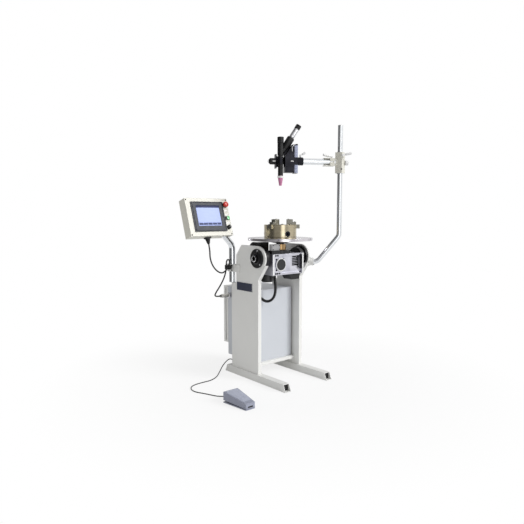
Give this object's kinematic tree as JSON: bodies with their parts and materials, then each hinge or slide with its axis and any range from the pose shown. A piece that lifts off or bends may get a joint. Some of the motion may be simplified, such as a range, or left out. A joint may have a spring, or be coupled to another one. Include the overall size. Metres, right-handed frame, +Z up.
{
  "type": "welding positioner",
  "caption": "Tilting welding turntable with a three-jaw chuck, operator panel, torch on a mast and foot pedal, on a floor stand.",
  "frame": {"origin": "on the floor, under the axis of the rotating table", "axes": "+X along the tilt axis towards the torch mast, -Y towards the operator and the long ends of the feet, +Z up"},
  "size_m": [0.9731, 0.7245, 1.571],
  "materials": {
    "frame_paint": "satin powder coat",
    "cabinet_paint": "satin powder coat",
    "blackened_steel": "satin black",
    "machined_steel": "turned",
    "chuck_steel": "ground, straw tinted",
    "cast_aluminium": "cast",
    "bare_aluminium": "milled",
    "brass": "turned",
    "polished_tube": "polished",
    "black_plastic": "moulded",
    "red_plastic": "moulded",
    "green_plastic": "moulded",
    "white_paint": "satin",
    "screen_bezel": "gloss",
    "navy_plate": "printed",
    "pink_ceramic": "glazed",
    "cable_rubber": "matte",
    "pedal_paint": "satin"
  },
  "bodies": {
    "frame": {"left_foot": "frame_paint", "right_foot": "frame_paint", "left_column": "frame_paint", "right_column": "frame_paint", "left_bearing": "blackened_steel", "right_bearing": "blackened_steel", "shelf": "frame_paint", "control_cabinet": "cabinet_paint", "panel_post": "polished_tube", "post_clamp": "bare_aluminium", "panel_enclosure": "frame_paint", "display": "screen_bezel", "cable_glands": "black_plastic", "panel_cable": "cable_rubber", "cable_connector": "bare_aluminium", "pedal_cable": "cable_rubber", "conduit": "black_plastic", "name_plate": "navy_plate", "torch_mast": "polished_tube", "mast_bracket": "bare_aluminium", "pedal_base": "black_plastic"},
    "tilt_head": {"gearbox_housing": "cast_aluminium", "gearbox_cap": "blackened_steel", "left_trunnion": "blackened_steel", "right_trunnion": "blackened_steel", "drive_motor": "blackened_steel", "table_motor": "blackened_steel", "terminal_box": "black_plastic", "neck_housing": "blackened_steel", "brush_holder": "bare_aluminium"},
    "turntable": {"table": "machined_steel", "table_hub": "blackened_steel", "slip_ring": "brass", "chuck_body": "chuck_steel"},
    "scroll": {"scroll": "machined_steel"},
    "jaw_1": {"jaw_1": "chuck_steel"},
    "jaw_2": {"jaw_2": "chuck_steel"},
    "jaw_3": {"jaw_3": "chuck_steel"},
    "pinion_1": {"pinion_1": "machined_steel"},
    "pinion_2": {"pinion_2": "machined_steel"},
    "pinion_3": {"pinion_3": "machined_steel"},
    "door": {"rear_door": "frame_paint"},
    "stop_button": {"stop_button": "red_plastic"},
    "start_button": {"start_button": "green_plastic"},
    "selector": {"selector_knob": "black_plastic"},
    "treadle": {"pedal_treadle": "pedal_paint"},
    "sleeve": {"mast_sleeve": "bare_aluminium"},
    "clamp": {"mast_clamp": "bare_aluminium"},
    "mast_lever": {"mast_lever": "polished_tube"},
    "clamp_knob": {"clamp_knob": "white_paint"},
    "arm_lever": {"arm_lever": "polished_tube"},
    "arm": {"arm": "polished_tube"},
    "arm_head": {"arm_head": "blackened_steel"},
    "head_lever": {"head_lever": "white_paint"},
    "slide_block": {"slide_block": "blackened_steel"},
    "cross_knob": {"cross_knob": "black_plastic"},
    "torch": {"torch_holder": "bare_aluminium", "torch_body": "black_plastic", "back_cap": "black_plastic", "torch_cup": "pink_ceramic"}
  },
  "joints": [
    {"name": "table_tilt", "type": "hinge", "parent": "frame", "child": "tilt_head", "pos_m": [0, 0, 0.758], "axis": [1, 0, 0], "range_deg": [0, 90], "deforming": ["conduit"]},
    {"name": "table_spin", "type": "hinge", "parent": "tilt_head", "child": "turntable", "pos_m": [0, 0, 0.87], "axis": [0, 0, 1], "continuous": true},
    {"name": "scroll_turn", "type": "hinge", "parent": "turntable", "child": "scroll", "pos_m": [0, 0, 0.92], "axis": [0, 0, 1], "range_deg": [-792, 360]},
    {"name": "jaw_1_slide", "type": "slide", "parent": "turntable", "child": "jaw_1", "axis": [0.2588, 0.9659, 0], "range_m": [-0.0221, 0.0101]},
    {"name": "jaw_2_slide", "type": "slide", "parent": "turntable", "child": "jaw_2", "axis": [-0.9659, -0.2588, 0], "range_m": [-0.0221, 0.0101]},
    {"name": "jaw_3_slide", "type": "slide", "parent": "turntable", "child": "jaw_3", "axis": [0.7071, -0.7071, 0], "range_m": [-0.0221, 0.0101]},
    {"name": "pinion_1_turn", "type": "hinge", "parent": "turntable", "child": "pinion_1", "pos_m": [-0.05657, 0.05657, 0.904], "axis": [-0.7071, 0.7071, 0], "range_deg": [-3200, 1500]},
    {"name": "pinion_2_turn", "type": "hinge", "parent": "turntable", "child": "pinion_2", "pos_m": [-0.02071, -0.07727, 0.904], "axis": [-0.2588, -0.9659, 0], "range_deg": [-3200, 1500]},
    {"name": "pinion_3_turn", "type": "hinge", "parent": "turntable", "child": "pinion_3", "pos_m": [0.07727, 0.02071, 0.904], "axis": [0.9659, 0.2588, 0], "range_deg": [-3200, 1500]},
    {"name": "door_hinge", "type": "hinge", "parent": "frame", "child": "door", "pos_m": [0.154, 0.341, 0.36], "axis": [0, 0, -1], "range_deg": [0, 110]},
    {"name": "stop_press", "type": "slide", "parent": "frame", "child": "stop_button", "axis": [0, 0.9511, -0.309], "range_m": [0, 0.005], "stiffness_N_per_m": 800, "springref_m": -0.004},
    {"name": "start_press", "type": "slide", "parent": "frame", "child": "start_button", "axis": [0, 0.9511, -0.309], "range_m": [0, 0.003], "stiffness_N_per_m": 800, "springref_m": -0.004},
    {"name": "selector_turn", "type": "hinge", "parent": "frame", "child": "selector", "pos_m": [-0.213, 0.2463, 0.94228], "axis": [0, -0.9511, 0.309], "range_deg": [-45, 45]},
    {"name": "pedal_press", "type": "hinge", "parent": "frame", "child": "treadle", "pos_m": [-0.505, -0.316, 0.017], "axis": [-1, 0, 0], "range_deg": [0, 3], "stiffness_Nm_per_rad": 60, "springref_deg": -2.86},
    {"name": "sleeve_lift", "type": "slide", "parent": "frame", "child": "sleeve", "axis": [0, 0, 1], "range_m": [-0.13, 0.14]},
    {"name": "clamp_swing", "type": "hinge", "parent": "sleeve", "child": "clamp", "pos_m": [0.3341, -0.1852, 1.342], "axis": [0, 0, 1], "range_deg": [-90, 60]},
    {"name": "mast_lever_turn", "type": "hinge", "parent": "clamp", "child": "mast_lever", "pos_m": [0.31821, -0.22212, 1.386], "axis": [0.4848, 0.8746, 0], "range_deg": [-70, 70]},
    {"name": "clamp_knob_turn", "type": "hinge", "parent": "clamp", "child": "clamp_knob", "pos_m": [0.37084, -0.20556, 1.342], "axis": [0.8746, -0.4848, 0], "range_deg": [-180, 180]},
    {"name": "arm_lever_turn", "type": "hinge", "parent": "clamp", "child": "arm_lever", "pos_m": [0.286, -0.15853, 1.38], "axis": [0, 0, 1], "range_deg": [-60, 60]},
    {"name": "arm_slide", "type": "slide", "parent": "clamp", "child": "arm", "axis": [0.8746, -0.4848, 0], "range_m": [-0.025, 0]},
    {"name": "head_roll", "type": "hinge", "parent": "arm", "child": "arm_head", "pos_m": [0.1137, -0.06302, 1.346], "axis": [0.8746, -0.4848, 0], "range_deg": [-30, 30]},
    {"name": "head_lever_turn", "type": "hinge", "parent": "arm_head", "child": "head_lever", "pos_m": [0.1102, -0.06109, 1.378], "axis": [0, 0, 1], "range_deg": [-70, 70]},
    {"name": "height_slide", "type": "slide", "parent": "arm_head", "child": "slide_block", "axis": [0, 0, 1], "range_m": [-0.025, 0.025]},
    {"name": "cross_slide", "type": "slide", "parent": "slide_block", "child": "torch", "axis": [0.8746, -0.4848, 0], "range_m": [-0.006, 0.003]},
    {"name": "cross_knob_turn", "type": "hinge", "parent": "slide_block", "child": "cross_knob", "pos_m": [-0.02472, 0.05029, 1.347], "axis": [0.8746, -0.4848, 0], "range_deg": [-1445, 725]}
  ],
  "couplings": [
    {"joint": "jaw_1_slide", "follows": "scroll_turn", "m_per_rad": 0.0015915},
    {"joint": "jaw_2_slide", "follows": "scroll_turn", "m_per_rad": 0.0015915},
    {"joint": "jaw_3_slide", "follows": "scroll_turn", "m_per_rad": 0.0015915},
    {"joint": "pinion_1_turn", "follows": "scroll_turn", "ratio": 4},
    {"joint": "pinion_2_turn", "follows": "scroll_turn", "ratio": 4},
    {"joint": "pinion_3_turn", "follows": "scroll_turn", "ratio": 4},
    {"joint": "cross_knob_turn", "follows": "cross_slide", "rad_per_m": 4188.8}
  ]
}
